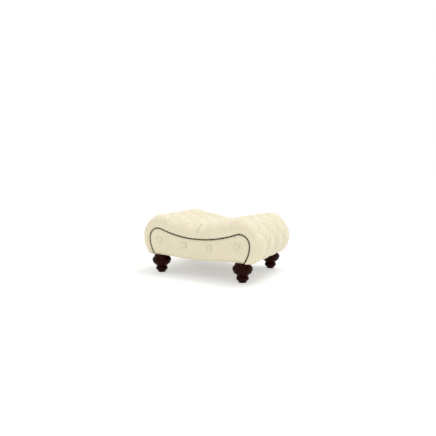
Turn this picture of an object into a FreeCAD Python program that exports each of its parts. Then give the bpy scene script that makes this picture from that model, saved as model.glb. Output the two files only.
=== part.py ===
import FreeCAD, Part
import math
import os

# A buttoned footstool: a saddle-shaped padded seat on a timber frame with four turned legs.
# Origin on the floor under the middle, +X along the length, +Y to the back, +Z up, millimetres.
# The front of the stool faces -Y.

# Body, seen from the front
overall_length = 892.0      # over the two padded ends
crest_height = 402.0        # top of the round crests, before the leather is drawn in
hollow_drop = 41.0          # from the crests down to the seat in the middle
crest_radius = 154.0        # round of the padded ends
body_bottom = 132.0         # underside of the frame, where the legs begin
end_tuck = 48.0             # how far the lower edge of the ends is drawn in

# Body, seen from the end
overall_depth = 580.0       # over the rolled front and back borders
border_reach = 15.0         # how far a rolled border stands in front of the nails
border_roll = 72.0          # from the outermost buttons to the front of a rolled border

# Nail line, an outline of the same kind as the body
nail_hollow_drop = 103.5    # from the seat in the middle down to the line
nail_crest_drop = 90.0      # from the crests down to the line
nail_end_inset = 71.0       # from the padded ends in to the line
nail_crest_radius = 68.0
nail_foot_inset = 60.0      # from the lower edge of the ends in to the foot of the line
apron_drop = 11.0           # how far the lower edge of the facings bellies down
apron_inset = 59.0          # from the middle of a leg in to the end of that belly

# Buttoning
end_row_step = 104.0        # from row to row down the ends, along the surface
lower_stretch = 110.0       # plain leather below the last row
top_rows = 3                # rows from the middle to the crest, on each side
end_rows = 2                # rows below each crest
row_sections = 4            # sections of the leather from one row to the next
lower_steps = 4             # sections of the plain leather below the last row
button_width = 22.0
button_dome = 5.0
button_sink = 17.0          # how deep a button is drawn in
pleat_sink = 10.0           # depth of a diagonal pleat half way between two buttons
middle_pleat_sink = 22.0    # depth of the pleat across a border in the middle of the seat
valley_sink = 13.0          # depth of the valley between the buttons of the middle row
edge_pleat_sink = 9.0       # depth of the other pleats across a border, over the top
end_edge_pleat_sink = 3.0   # and at the ends
lower_pleat_sink = 6.0      # depth of a straight pleat at the lower edge of the ends
shoulder_share = 0.2        # fall of the outermost puffs at their middle, of their depth
lip_share = 0.3             # where the border stands furthest forward, of its width

# Leather, wadding and clearances
cover_thickness = 4.0       # leather with its thin wadding
soft_clearance = 0.3
fit_clearance = 0.1
overrun = 50.0              # how far a cutting solid runs past what it cuts
nail_joint = 2.0            # from the nail line to the edge of each leather
nail_band = 6.5             # flat band on each side of the nail line

# Facings
facing_rise = 8.5           # how far the padded middle stands in front of the nail line
facing_round = 7.0
facing_leather = 2.5
panel_button_width = 25.0
panel_button_dome = 5.0
panel_dimple_depth = 6.0
panel_dimple_width = 52.0
panel_outer_inset = 17.0    # outer buttons, in from the top of the nail line's rounds
panel_outer_drop = 75.0     # outer buttons, below those rounds
panel_inner_drop = 46.0     # inner buttons, below the nail line in the middle

# Dome nails
nail_head = 11.0
nail_rise = 3.6
nail_pitch = 11.6
nail_shank = 1.3
nail_depth = 12.0

# Timber frame
profile_board = 18.0
board_margin = 8.0          # board outside the nail line
rail_thickness = 25.0
rail_height = 77.0
cross_rail_width = 30.0
cross_rail_height = 50.0
end_board_thickness = 12.0
end_board_rise = 60.0       # end boards above the rails
end_board_inset = 42.0      # from the lower edge of the ends in to the end boards
crest_rail_size = 45.0
leg_block_length = 80.0
leg_block_depth = 63.0

# Webbing and sheets
web_width = 50.0
web_thickness = 2.0
web_step_run = 8.0          # run in which a crosswise web steps down beside the last lengthwise one
lengthwise_webs = 5
crosswise_webs = 7
web_side_gap = 46.0         # from a profile board to the nearest lengthwise web
web_end_gap = 25.0          # from an end board to the nearest crosswise web
hessian_thickness = 1.2
dust_cover_thickness = 1.0

# Legs
leg_end_inset = 34.0        # from an end board in to the middle of a leg
leg_side_inset = 19.0       # from a profile board in to the middle of a leg
bun_radius = 65.0
# Profile from the foot up: foot, ring in three points, hollow neck in two, bun in four, and top.
# Radii are shares of the bun's, heights are shares of the leg's.
leg_radius_shares = (0.43, 0.52, 0.62, 0.515, 0.66, 0.89, 0.91, 1.0, 0.915, 0.8, 0.755)
leg_height_shares = (0.11, 0.125, 0.233, 0.32, 0.41, 0.5, 0.56, 0.67, 0.785, 0.85, 1.0)
glide_width = 34.0
glide_height = 3.0
glide_nail_width = 3.0
glide_nail_depth = 14.0

# Hardware
bolt_width = 8.0
bolt_in_leg = 45.0
bolt_in_block = 24.0
insert_width = 12.0
insert_height = 20.0
screw_length = 38.0
screw_width = 4.5
screw_head = 9.0
tack_head = 7.0
tack_head_height = 1.0
tack_width = 2.0
tack_length = 12.0
tack_offset = 12.0          # tacks stand this far from the middle of a web


def vec(x, y, z):
    return FreeCAD.Vector(x, y, z)


def box(x0, x1, y0, y1, z0, z1):
    """A block between two corners."""
    return Part.makeBox(x1 - x0, y1 - y0, z1 - z0, vec(x0, y0, z0))


def mirror_x(shape):
    return shape.mirror(vec(0, 0, 0), vec(1, 0, 0))


def mirror_y(shape):
    return shape.mirror(vec(0, 0, 0), vec(0, 1, 0))


def turned(points, arcs):
    """A solid turned about Z. points are (radius, height); arcs names the points that are arc middles."""
    at = [vec(r, 0, z) for r, z in points]
    edges = []
    i = 0
    while i < len(at) - 1:
        if i + 1 in arcs:
            edges.append(Part.Arc(at[i], at[i + 1], at[i + 2]).toShape())
            i += 2
        else:
            edges.append(Part.LineSegment(at[i], at[i + 1]).toShape())
            i += 1
    edges.append(Part.LineSegment(at[-1], at[0]).toShape())
    return Part.Face(Part.Wire(edges)).revolve(vec(0, 0, 0), vec(0, 0, 1), 360)


def placed(shape, position, direction):
    """A copy of a shape made along +Z, moved to a place and turned to point along a direction."""
    copy = shape.copy()
    copy.Placement = FreeCAD.Placement(position, FreeCAD.Rotation(vec(0, 0, 1), direction))
    return copy


# Saddle outlines

def saddle(hollow_z, crest_z, cx, radius, foot_x):
    """Half of a saddle outline in three tangent arcs: hollow, crest round cx and lower curve."""
    cz = crest_z - radius
    rise = hollow_z - cz
    hollow_r = (cx * cx + rise * rise - radius * radius) / (2 * (radius - rise))
    hollow_angle = math.asin(cx / (hollow_r + radius))
    inset = cx + radius - foot_x
    drop = cz - body_bottom
    lower_r = (inset * inset + drop * drop) / (2 * inset)
    lower_angle = math.atan2(drop, lower_r - inset)
    lengths = (hollow_r * hollow_angle, radius * (hollow_angle + math.pi / 2), lower_r * lower_angle)
    return {"hollow_z": hollow_z, "hollow_r": hollow_r, "hollow_angle": hollow_angle, "cx": cx, "cz": cz,
            "radius": radius, "lower_r": lower_r, "lower_angle": lower_angle, "lengths": lengths}


def on_saddle(s, station):
    """Point (x, z) and outward direction at a station: 0 to 1 hollow, to 2 crest, to 3 lower curve."""
    side = -1 if station < 0 else 1
    t = abs(station)
    if t <= 1:
        a = t * s["hollow_angle"]
        x = s["hollow_r"] * math.sin(a)
        z = s["hollow_z"] + s["hollow_r"] * (1 - math.cos(a))
        nx, nz = -math.sin(a), math.cos(a)
    elif t <= 2:
        a = (t - 1) * (s["hollow_angle"] + math.pi / 2) - s["hollow_angle"]
        nx, nz = math.sin(a), math.cos(a)
        x = s["cx"] + s["radius"] * nx
        z = s["cz"] + s["radius"] * nz
    else:
        a = (t - 2) * s["lower_angle"]
        nx, nz = math.cos(a), -math.sin(a)
        x = s["cx"] + s["radius"] + s["lower_r"] * (nx - 1)
        z = s["cz"] + s["lower_r"] * nz if t < 3 else body_bottom
    return side * x, z, side * nx, nz


def station_at(s, length):
    """Station of the point that lies a length along the outline from the middle."""
    side = -1 if length < 0 else 1
    left = abs(length)
    for i, part in enumerate(s["lengths"]):
        if left <= part or i == 2:
            return side * (i + min(left / part, 1))
        left -= part


def saddle_edges(s, y):
    """The outline's arcs in the plane y, from the left foot over the top to the right foot."""
    def at(station):
        x, z, nx, nz = on_saddle(s, station)
        return vec(x, y, z)
    stops = ((-3, -2), (-2, -1), (-1, 1), (1, 2), (2, 3))
    return [Part.Arc(at(a), at((a + b) / 2), at(b)).toShape() for a, b in stops]


def facing_outline(offset, y, belly):
    """Closed outline of a facing or profile board, offset outwards from the nail line."""
    s = nail_saddle(offset)
    edges = saddle_edges(s, y)
    foot = on_saddle(s, 3)[0]
    right = vec(foot, y, body_bottom)
    left = vec(-foot, y, body_bottom)
    if belly:
        inner_right = vec(apron_half, y, body_bottom)
        inner_left = vec(-apron_half, y, body_bottom)
        low = vec(0, y, body_bottom - apron_drop)
        edges.append(Part.LineSegment(right, inner_right).toShape())
        edges.append(Part.Arc(inner_right, low, inner_left).toShape())
        edges.append(Part.LineSegment(inner_left, left).toShape())
    else:
        edges.append(Part.LineSegment(right, left).toShape())
    return Part.Face(Part.Wire(edges))


def nail_saddle(offset):
    return saddle(nail_hollow_height + offset, nail_crest_height + offset, nail_crest_x,
                  nail_crest_radius + offset, nail_foot + offset)


# Heights, planes and places that several pieces share
half_length = overall_length / 2
half_depth = overall_depth / 2
foot_of_ends = half_length - end_tuck
hollow_height = crest_height - hollow_drop
nail_crest_height = crest_height - nail_crest_drop
nail_hollow_height = hollow_height - nail_hollow_drop
nail_crest_x = half_length - nail_end_inset - nail_crest_radius
nail_foot = foot_of_ends - nail_foot_inset
nail_plane = half_depth - border_reach
board_front = nail_plane - cover_thickness
board_back = board_front - profile_board
rail_top = body_bottom + rail_height
end_board_top = rail_top + end_board_rise
end_board_face = foot_of_ends - end_board_inset
end_board_back = end_board_face - end_board_thickness
leg_x = end_board_back - leg_end_inset
leg_y = board_back - leg_side_inset
apron_half = leg_x - apron_inset
seat_level = rail_top + 2 * web_thickness + hessian_thickness
flat_half = half_depth - border_roll
half_pitch = (flat_half - button_width / 2) / 3

body_saddle = saddle(hollow_height, crest_height, half_length - crest_radius, crest_radius, foot_of_ends)
nail_line = nail_saddle(0)
outline_length = sum(body_saddle["lengths"])
top_row_step = (outline_length - end_rows * end_row_step - lower_stretch) / top_rows


# Buttoned surface of the seat

def row_length(k):
    """Length along the outline from the middle to button row k."""
    side = -1 if k < 0 else 1
    top = min(abs(k), top_rows)
    end = abs(k) - top
    return side * (top * top_row_step + end * end_row_step)


def seat_stations():
    """(station, phase, seat, edge, valley) of each section, phase 1 at rows of four buttons, 0 at three.

    The last three are how deep the leather is drawn in at a button, across a border and between
    the buttons of the middle row."""
    last = top_rows + end_rows
    half = []
    for k in range(last):
        edge = middle_pleat_sink if k == 0 else edge_pleat_sink if k < top_rows else end_edge_pleat_sink
        valley = valley_sink if k == 0 else 0
        start, run = row_length(k), row_length(k + 1) - row_length(k)
        for i in range(row_sections):
            share = i / row_sections
            phase = share if k % 2 else 1 - share
            half.append((start + run * share, phase, button_sink, edge, valley))
    half.append((row_length(last), 1 - last % 2, button_sink, 0, 0))
    for i in range(1, lower_steps):
        low = i / lower_steps
        length = row_length(last) + (outline_length - row_length(last)) * low
        half.append((length, 0, button_sink + (lower_pleat_sink - button_sink) * low, 0, 0))
    right = [(station_at(body_saddle, u), *rest) for u, *rest in half]
    right.append((3, 0, lower_pleat_sink, 0, 0))
    left = [(-t, *rest) for t, *rest in reversed(right[1:])]
    return left + right


def seat_section(station, phase, seat, edge, valley, extra):
    """Edges across the depth at a station, as (start, middle, end) points, sunk by extra throughout."""
    ox, oz, nx, nz = on_saddle(body_saddle, station)
    lx, lz = on_saddle(nail_line, station)[:2]
    ex, ez = on_saddle(nail_saddle(nail_joint), station)[:2]
    bx, bz = on_saddle(nail_saddle(nail_band), station)[:2]
    if abs(station) == 3:
        nx, nz = math.copysign(1, station), 0
    width = math.hypot(ox - lx, oz - lz)
    dx, dz = (ox - lx) / width, (oz - lz) / width
    side_share = math.sqrt(1 / 2)
    crown = seat * phase ** 2
    border = edge * phase ** 2

    def on_top(y, sink):
        d = sink + extra
        return vec(ox - nx * d, y, oz - nz * d)

    def on_border(side, out, y, radial_sink, depth_sink):
        r = out - radial_sink
        return vec(lx + dx * r, side * (y - depth_sink), lz + dz * r)

    def border_edges(side):
        flat = side * (nail_plane - extra)
        nail = vec(ex, flat, ez)
        band = vec(bx, flat, bz)
        lip = lip_share * width
        front = on_border(side, lip, half_depth, 0, extra + border / 2)
        lip_middle = on_border(side, (nail_band + lip) / 2, (nail_plane + 2 * half_depth) / 3, 0,
                               extra + border / 4)
        sink = side_share * (extra + border)
        rise = lip + (width - lip) * side_share
        bulge = flat_half + (half_depth - flat_half) * side_share
        shoulder = on_border(side, rise, bulge, sink, sink)
        start = on_top(side * flat_half, crown)
        return [(nail, None, band), (band, lip_middle, front), (front, shoulder, start)]

    wide = half_pitch - button_width / 2
    half_a = wide + (button_width / 2 - wide) * phase
    pleat = pleat_sink + (seat - pleat_sink) * (2 * phase - 1) ** 2 if 0 < phase < 1 else seat
    edges = border_edges(-1)
    for i in range(-3, 4):
        half = half_a if i % 2 else half_pitch - half_a
        top = crown if i % 2 else max(seat * (1 - phase) ** 2, valley * phase)
        y0 = -flat_half if i == -3 else i * half_pitch - half
        y1 = flat_half if i == 3 else i * half_pitch + half
        s0 = crown if i == -3 else pleat
        s1 = crown if i == 3 else pleat
        middle = top + shoulder_share * (pleat - top) if abs(i) == 3 else top
        flat = s0 == s1 == middle
        edges.append((on_top(y0, s0), None if flat else on_top((y0 + y1) / 2, middle), on_top(y1, s1)))
    edges += [(c, b, a) for a, b, c in reversed(border_edges(1))]
    return edges


def edge_of(points):
    a, middle, b = points
    if middle is None:
        return Part.LineSegment(a, b).toShape()
    return Part.Arc(a, middle, b).toShape()


def seat_sections(extra):
    return [seat_section(*place, extra) for place in seat_stations()]


def skin_faces(sections):
    """Ruled faces between neighbouring sections."""
    rows = [[edge_of(points) for points in section] for section in sections]
    faces = []
    for row, following in zip(rows, rows[1:]):
        faces += [Part.makeRuledSurface(a, b) for a, b in zip(row, following)]
    return faces


def closed_solid(faces):
    shell = Part.makeShell(faces)
    shell.sewShape()
    solid = Part.makeSolid(shell)
    if solid.Volume < 0:
        solid.reverse()
    return solid


def seat_cover():
    """Buttoned leather over the top, ends and borders, with a flap under each end."""
    outer = seat_sections(0)
    inner = seat_sections(cover_thickness)
    faces = skin_faces(outer) + skin_faces(inner)
    for end in (0, -1):
        for a, b in zip(outer[end], inner[end]):
            faces.append(Part.makeRuledSurface(edge_of(a), edge_of(b)))
    for edge, corner in ((0, 0), (-1, 2)):
        for i in range(len(outer) - 1):
            a = edge_of((outer[i][edge][corner], None, outer[i + 1][edge][corner]))
            b = edge_of((inner[i][edge][corner], None, inner[i + 1][edge][corner]))
            faces.append(Part.makeRuledSurface(a, b))
    cover = closed_solid(faces)
    flap = under_flap()
    return cover.fuse([flap, mirror_x(flap)])


def under_flap():
    """The leather turned under the right end, up to the frame."""
    section = seat_section(*seat_stations()[-1], cover_thickness / 2)
    edges = [edge_of(points) for points in section]
    edges.append(edge_of((section[-1][2], None, section[0][0])))
    flap = Part.Face(Part.Wire(edges)).extrude(vec(0, 0, cover_thickness))
    reach = nail_foot + board_margin + cover_thickness
    for side in (-1, 1):
        y = sorted((side * (board_back - soft_clearance), side * (half_depth + overrun)))
        flap = flap.cut(box(0, reach, y[0], y[1], 0, crest_height))
    inner = end_board_back + soft_clearance
    return flap.cut(box(0, inner, -overall_depth, overall_depth, 0, crest_height))


def seat_foam():
    """Foam with the buttoned form, open below for the frame and cut round the profile boards."""
    sections = seat_sections(cover_thickness + soft_clearance)
    faces = skin_faces(sections)
    for edge, corner in ((0, 0), (-1, 2)):
        points = [section[edge][corner] for section in sections]
        faces.append(Part.Face(Part.makePolygon(points + points[:1])))
    bottom = [edge_of(points) for points in sections[0]] + [edge_of(points) for points in sections[-1]]
    for edge, corner in ((0, 0), (-1, 2)):
        bottom.append(edge_of((sections[0][edge][corner], None, sections[-1][edge][corner])))
    faces.append(Part.Face(Part.Wire(Part.__sortEdges__(bottom))))
    foam = closed_solid(faces)
    pocket = facing_outline(board_margin + soft_clearance, board_back - soft_clearance, False)
    pocket = pocket.extrude(vec(0, profile_board + overrun, 0))
    foam = foam.cut([pocket, mirror_y(pocket)])
    cavity_x = end_board_face + soft_clearance
    well_x = end_board_back - crest_rail_size - soft_clearance
    back = board_back
    foam = foam.cut(box(-well_x, well_x, -back, back, 0, seat_level + soft_clearance))
    for side in (-1, 1):
        x = sorted((side * well_x, side * cavity_x))
        foam = foam.cut(box(x[0], x[1], -back, back, 0, end_board_top + soft_clearance))
    floor = body_bottom + cover_thickness + soft_clearance
    return foam.cut(box(-overall_length, overall_length, -overall_depth, overall_depth, 0, floor))


# Buttons

def dome_middle(radius, low, top):
    """Half-way point of a spherical dome's arc, from its rim (radius, low) to its top on the axis."""
    rise = top - low
    ball = (radius * radius + rise * rise) / (2 * rise)
    half_angle = math.asin(radius / ball) / 2
    return ball * math.sin(half_angle), top - ball * (1 - math.cos(half_angle))


def button(width, dome, back_rise):
    """A covered button along +Z: a domed face, a rounded rim and a shallow cone behind."""
    rim = dome / 4
    edge = width / 2 - rim / 2
    brow = back_rise + 2 * rim
    top = back_rise + dome
    points = ((0, 0), (edge, back_rise), (width / 2, back_rise + rim), (edge, brow),
              dome_middle(edge, brow, top), (0, top))
    return turned(points, (2, 4))


def seat_buttons(rows):
    """Buttons of the given rows, drawn into the seat."""
    slope = button_sink * (1 - (1 - 1 / row_sections) ** 2) / (end_row_step / row_sections)
    shape = button(button_width - 2 * fit_clearance, button_dome, slope * button_width / 2)
    made = []
    for k in rows:
        x, z, nx, nz = on_saddle(body_saddle, station_at(body_saddle, row_length(k)))
        sink = button_sink - soft_clearance
        across = (-2, 0, 2) if k % 2 else (-3, -1, 1, 3)
        for i in across:
            seat = vec(x - nx * sink, i * half_pitch, z - nz * sink)
            made.append(placed(shape, seat, vec(nx, 0, nz)))
    return Part.makeCompound(made)


def panel_places():
    """Button places of the facings, four evenly spaced, as (x, z)."""
    outer = nail_crest_x - panel_outer_inset
    return [(side * x, z) for side in (-1, 1)
            for x, z in ((outer, nail_crest_height - panel_outer_drop),
                         (outer / 3, nail_hollow_height - panel_inner_drop))]


def panel_buttons():
    shape = button(panel_button_width, panel_button_dome, 0)
    y = -(nail_plane + facing_rise - panel_dimple_depth + fit_clearance)
    return Part.makeCompound([placed(shape, vec(x, y, z), vec(0, -1, 0)) for x, z in panel_places()])


# Facings

def padded_panel(inset, round_radius, front, back):
    """Panel with a rounded front edge and a dimple under each button, between two planes."""
    face = facing_outline(-inset, -back, True)
    pad = face.extrude(vec(0, back - front, 0))
    rim = [e for e in pad.Edges if e.BoundBox.YMax < -front + fit_clearance]
    pad = pad.makeFillet(round_radius, rim)
    seat_radius = panel_button_width / 2 + fit_clearance
    run = panel_dimple_width / 2 - seat_radius
    fade = overrun * run / panel_dimple_depth
    cone = Part.makeCone(seat_radius, seat_radius + run + fade, panel_dimple_depth + overrun)
    for x, z in panel_places():
        pad = pad.cut(placed(cone, vec(x, -(front - panel_dimple_depth), z), vec(0, -1, 0)))
    return pad


def facing():
    """Leather of the front facing: a flat edge under the nails and a padded middle, hollow behind."""
    front = nail_plane + facing_rise
    edge = facing_outline(-nail_joint, -board_front, True).extrude(vec(0, -cover_thickness, 0))
    leather = edge.fuse(padded_panel(nail_band, facing_round, front, board_front))
    hollow = padded_panel(nail_band + facing_leather, facing_round - facing_leather,
                          front - facing_leather, board_front)
    return leather.cut(hollow)


def facing_wadding():
    """Wadding between the front profile board and its leather."""
    inset = nail_band + facing_leather + soft_clearance
    front = nail_plane + facing_rise - facing_leather - soft_clearance
    return padded_panel(inset, facing_round - facing_leather, front, board_front)


def nail_places():
    """Places of the nails along the line, evenly spaced, as (x, z)."""
    whole = sum(nail_line["lengths"])
    usable = whole - nail_head / 2
    count = int(usable / nail_pitch)
    step = usable / count
    places = []
    for i in range(-count, count + 1):
        x, z, _, _ = on_saddle(nail_line, station_at(nail_line, i * step))
        places.append((x, z))
    return places


def nails():
    """Dome nails of the front line."""
    r = nail_head / 2
    points = ((0, -nail_depth), (nail_shank / 2, -nail_depth + nail_shank), (nail_shank / 2, 0), (r, 0),
              dome_middle(r, 0, nail_rise), (0, nail_rise))
    shape = turned(points, (4,))
    return Part.makeCompound([placed(shape, vec(x, -nail_plane, z), vec(0, -1, 0))
                              for x, z in nail_places()])


def nail_holes():
    """Holes for the nails, through the leather joint into the front board."""
    r = nail_shank / 2 + fit_clearance
    shape = Part.makeCylinder(r, nail_depth + 2 * nail_shank)
    return [placed(shape, vec(x, -nail_plane, z), vec(0, 1, 0)) for x, z in nail_places()]


# Screws and tacks

def screw(clearance):
    """A countersunk screw along +Z, its head flush at zero."""
    r = screw_width / 2 + clearance
    head = screw_head / 2 + clearance
    depth = screw_length + clearance
    return turned(((0, 0), (head, 0), (r, -(head - r)), (r, -(depth - r)), (0, -depth)), ())


def board_screw_places():
    """Screws of the front board into its rail and leg blocks, as (x, z)."""
    block = end_board_back - leg_block_length / 2
    low = body_bottom + rail_height / 3
    high = body_bottom + 2 * rail_height / 3
    spread = leg_block_length / 4
    outer = [(side * (block + spread * up), low if up < 0 else high) for side in (-1, 1) for up in (-1, 1)]
    inner = [(side * apron_half / 2, (low + high) / 2) for side in (-1, 1)]
    return outer + inner


def board_screws(clearance):
    shape = screw(clearance)
    return [placed(shape, vec(x, -board_front, z), vec(0, -1, 0)) for x, z in board_screw_places()]


def end_screws(clearance):
    """Screws of the right end board into its leg blocks."""
    shape = screw(clearance)
    y = board_back - leg_block_depth / 2
    heights = (body_bottom + rail_height / 4, body_bottom + 3 * rail_height / 4)
    return [placed(shape, vec(end_board_face, side * y, z), vec(1, 0, 0))
            for side in (-1, 1) for z in heights]


def frame_screws():
    front = Part.makeCompound(board_screws(0))
    right = Part.makeCompound(end_screws(0))
    return Part.makeCompound([front, mirror_y(front), right, mirror_x(right)])


def tack(clearance):
    """A tack along +Z, the underside of its head at zero."""
    r = tack_width / 2 + clearance
    depth = tack_length + clearance
    head = tack_head / 2
    points = ((0, tack_head_height), (head, tack_head_height), (head, 0), (r, 0),
              (r, -(depth - tack_width)), (0, -depth))
    return turned(points, ())


def lengthwise_rows():
    outer = board_back - web_side_gap - web_width / 2
    pitch = 2 * outer / (lengthwise_webs - 1)
    return [i * pitch - outer for i in range(lengthwise_webs)]


def crosswise_rows():
    outer = end_board_back - web_end_gap - web_width / 2
    pitch = 2 * outer / (crosswise_webs - 1)
    return [i * pitch - outer for i in range(crosswise_webs)]


def web_tacks(clearance):
    """Two tacks in each end of each web."""
    shape = tack(clearance)
    top = rail_top + web_thickness
    end_x = end_board_back - rail_thickness / 2
    end_y = board_back - rail_thickness / 2
    places = [(side * end_x, y + off) for y in lengthwise_rows() for side in (-1, 1)
              for off in (-tack_offset, tack_offset)]
    places += [(x + off, side * end_y) for x in crosswise_rows() for side in (-1, 1)
               for off in (-tack_offset, tack_offset)]
    return [placed(shape, vec(x, y, top), vec(0, 0, 1)) for x, y in places]


def dust_tacks(clearance):
    """Tacks that hold the dust cover under the rails."""
    shape = tack(clearance)
    low = body_bottom - dust_cover_thickness
    rail_y = board_back - rail_thickness / 2
    rail_x = end_board_back - rail_thickness / 2
    long_step = apron_half / 3
    short_step = (board_back - leg_block_depth) / 3
    places = [(i * long_step, side * rail_y) for i in (-5 / 2, -3 / 2, -1 / 2, 1 / 2, 3 / 2, 5 / 2)
              for side in (-1, 1)]
    places += [(side * rail_x, i * short_step) for i in (-2, -1, 0, 1, 2) for side in (-1, 1)]
    return [placed(shape, vec(x, y, low), vec(0, 0, -1)) for x, y in places]


# Timber frame

def profile_board_solid():
    board = facing_outline(board_margin, -board_front, True).extrude(vec(0, profile_board, 0))
    return board.cut(board_screws(fit_clearance) + nail_holes())


def long_rail():
    """Rail behind the front profile board, between the leg blocks."""
    half = end_board_back - leg_block_length
    rail = box(-half, half, -board_back, -(board_back - rail_thickness), body_bottom, rail_top)
    return rail.cut(board_screws(fit_clearance) + web_tacks(fit_clearance) + dust_tacks(fit_clearance))


def end_rail():
    """Rail of the right end, between its leg blocks."""
    half = board_back - leg_block_depth
    rail = box(end_board_back - rail_thickness, end_board_back, -half, half, body_bottom, rail_top)
    return rail.cut(web_tacks(fit_clearance) + dust_tacks(fit_clearance))


def cross_rail():
    half = board_back - rail_thickness
    w = cross_rail_width / 2
    return box(-w, w, -half, half, body_bottom, body_bottom + cross_rail_height)


def leg_block():
    """Block of the right front corner, drilled for the threaded insert and the screws."""
    block = box(end_board_back - leg_block_length, end_board_back,
                -board_back, -(board_back - leg_block_depth), body_bottom, rail_top)
    hole = Part.makeCylinder(insert_width / 2 + fit_clearance, insert_height + fit_clearance,
                             vec(leg_x, -leg_y, body_bottom))
    bolt = Part.makeCylinder(bolt_width / 2 + fit_clearance, bolt_in_block + fit_clearance,
                             vec(leg_x, -leg_y, body_bottom))
    tools = [hole, bolt] + board_screws(fit_clearance) + end_screws(fit_clearance)
    return block.cut(tools + web_tacks(fit_clearance) + dust_tacks(fit_clearance))


def end_board():
    half = board_back
    low = body_bottom + cover_thickness + soft_clearance
    board = box(end_board_back, end_board_face, -half, half, low, end_board_top)
    return board.cut(end_screws(fit_clearance))


def crest_rail():
    """Rail inside the top of the right end board, between the profile boards."""
    return box(end_board_back - crest_rail_size, end_board_back, -board_back, board_back,
               end_board_top - crest_rail_size, end_board_top)


# Webbing and sheets

def lengthwise_webbing():
    x = end_board_back
    half = web_width / 2
    strips = [box(-x, x, y - half, y + half, rail_top, rail_top + web_thickness)
              for y in lengthwise_rows()]
    holes = web_tacks(fit_clearance)
    return Part.makeCompound([strip.cut(holes) for strip in strips])


def crosswise_webbing():
    """Strips that lie on the lengthwise ones and step down to the front and back rails."""
    low = rail_top
    high = rail_top + web_thickness
    last = lengthwise_rows()[-1] + web_width / 2 + web_thickness
    flat = last
    end = board_back
    step = last + web_step_run
    upper = [(-end, high), (-step, high), (-flat, high + web_thickness)]
    lower = [(-end, low), (-step, low), (-flat, high)]
    ring = upper + [(-y, z) for y, z in reversed(upper)] + [(-y, z) for y, z in lower] + lower[::-1]
    holes = web_tacks(fit_clearance)
    strips = []
    for x in crosswise_rows():
        points = [vec(x - web_width / 2, y, z) for y, z in ring]
        strip = Part.Face(Part.makePolygon(points + points[:1])).extrude(vec(web_width, 0, 0))
        strips.append(strip.cut(holes))
    return Part.makeCompound(strips)


def hessian():
    x = end_board_back - soft_clearance
    y = board_back - soft_clearance
    return box(-x, x, -y, y, seat_level - hessian_thickness, seat_level)


def dust_cover():
    x = end_board_face
    y = board_back - soft_clearance
    sheet = box(-x, x, -y, y, body_bottom - dust_cover_thickness, body_bottom)
    notch = Part.makeCylinder(bun_radius * leg_radius_shares[-1] + cover_thickness, overrun)
    notches = [notch.translated(vec(sx * leg_x, sy * leg_y, body_bottom - overrun / 2))
               for sx in (-1, 1) for sy in (-1, 1)]
    return sheet.cut(notches + dust_tacks(fit_clearance))


# Legs

def leg():
    """Turned bun leg of the right front corner, drilled for its bolt and glide nail."""
    glide_nail = glide_nail_width / 2 + fit_clearance
    profile = [(bun_radius * r, body_bottom * h) for r, h in zip(leg_radius_shares, leg_height_shares)]
    foot = profile[0][0] - glide_height
    points = [(0, glide_height), (foot, glide_height)] + profile + [(0, body_bottom)]
    solid = turned(points, (4, 6, 9, 11))
    bolt = Part.makeCylinder(bolt_width / 2 + fit_clearance, bolt_in_leg + fit_clearance + overrun,
                             vec(0, 0, body_bottom - bolt_in_leg - fit_clearance))
    nail = Part.makeCylinder(glide_nail, glide_nail_depth + glide_height + fit_clearance)
    return solid.cut([bolt, nail]).translated(vec(leg_x, -leg_y, 0))


def glide():
    """Domed glide under a foot, with its nail."""
    r = glide_width / 2
    edge = glide_height / 3
    n = glide_nail_width / 2
    top = glide_height + glide_nail_depth
    points = ((0, 0), (r - glide_height, 0), (r, edge), (r, glide_height), (n, glide_height),
              (n, top - n), (0, top))
    return turned(points, ()).translated(vec(leg_x, -leg_y, 0))


def hanger_bolt():
    r = bolt_width / 2
    low = body_bottom - bolt_in_leg
    high = body_bottom + bolt_in_block
    return turned(((0, low), (r, low + r), (r, high - r / 2), (r / 2, high), (0, high)), ()).translated(
        vec(leg_x, -leg_y, 0))


def threaded_insert():
    outer = Part.makeCylinder(insert_width / 2, insert_height, vec(leg_x, -leg_y, body_bottom))
    bore = Part.makeCylinder(bolt_width / 2 + fit_clearance, insert_height, vec(leg_x, -leg_y, body_bottom))
    return outer.cut(bore)


def corners(shape):
    """The four corner copies of a right front piece, by name."""
    back = mirror_y(shape)
    return {"front_right": shape, "front_left": mirror_x(shape), "back_right": back,
            "back_left": mirror_x(back)}


def group_of_four(shape):
    return Part.makeCompound(list(corners(shape).values()))


# Assembly: every piece under its node's name

nodes = {}
nodes["seat_cover"] = seat_cover()
nodes["seat_foam"] = seat_foam()
for name, maker in (("facing", facing), ("facing_wadding", facing_wadding), ("nails", nails),
                    ("panel_buttons", panel_buttons), ("profile_board", profile_board_solid),
                    ("rail", long_rail)):
    made = maker()
    nodes["front_" + name] = made
    nodes["back_" + name] = mirror_y(made)
for name, maker in (("end_rail", end_rail), ("end_board", end_board), ("crest_rail", crest_rail)):
    made = maker()
    nodes["right_" + name] = made
    nodes["left_" + name] = mirror_x(made)
nodes["cross_rail"] = cross_rail()
for corner, shape in corners(leg_block()).items():
    nodes[corner + "_leg_block"] = shape
for corner, shape in corners(leg()).items():
    nodes[corner + "_leg"] = shape
nodes["leg_glides"] = group_of_four(glide())
nodes["hanger_bolts"] = group_of_four(hanger_bolt())
nodes["threaded_inserts"] = group_of_four(threaded_insert())
nodes["top_buttons"] = seat_buttons(range(-top_rows, top_rows + 1))
nodes["right_end_buttons"] = seat_buttons(range(top_rows + 1, top_rows + end_rows + 1))
nodes["left_end_buttons"] = seat_buttons(range(-top_rows - end_rows, -top_rows))
nodes["lengthwise_webbing"] = lengthwise_webbing()
nodes["crosswise_webbing"] = crosswise_webbing()
nodes["hessian"] = hessian()
nodes["dust_cover"] = dust_cover()
nodes["frame_screws"] = frame_screws()
nodes["webbing_tacks"] = Part.makeCompound(web_tacks(0))
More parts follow.
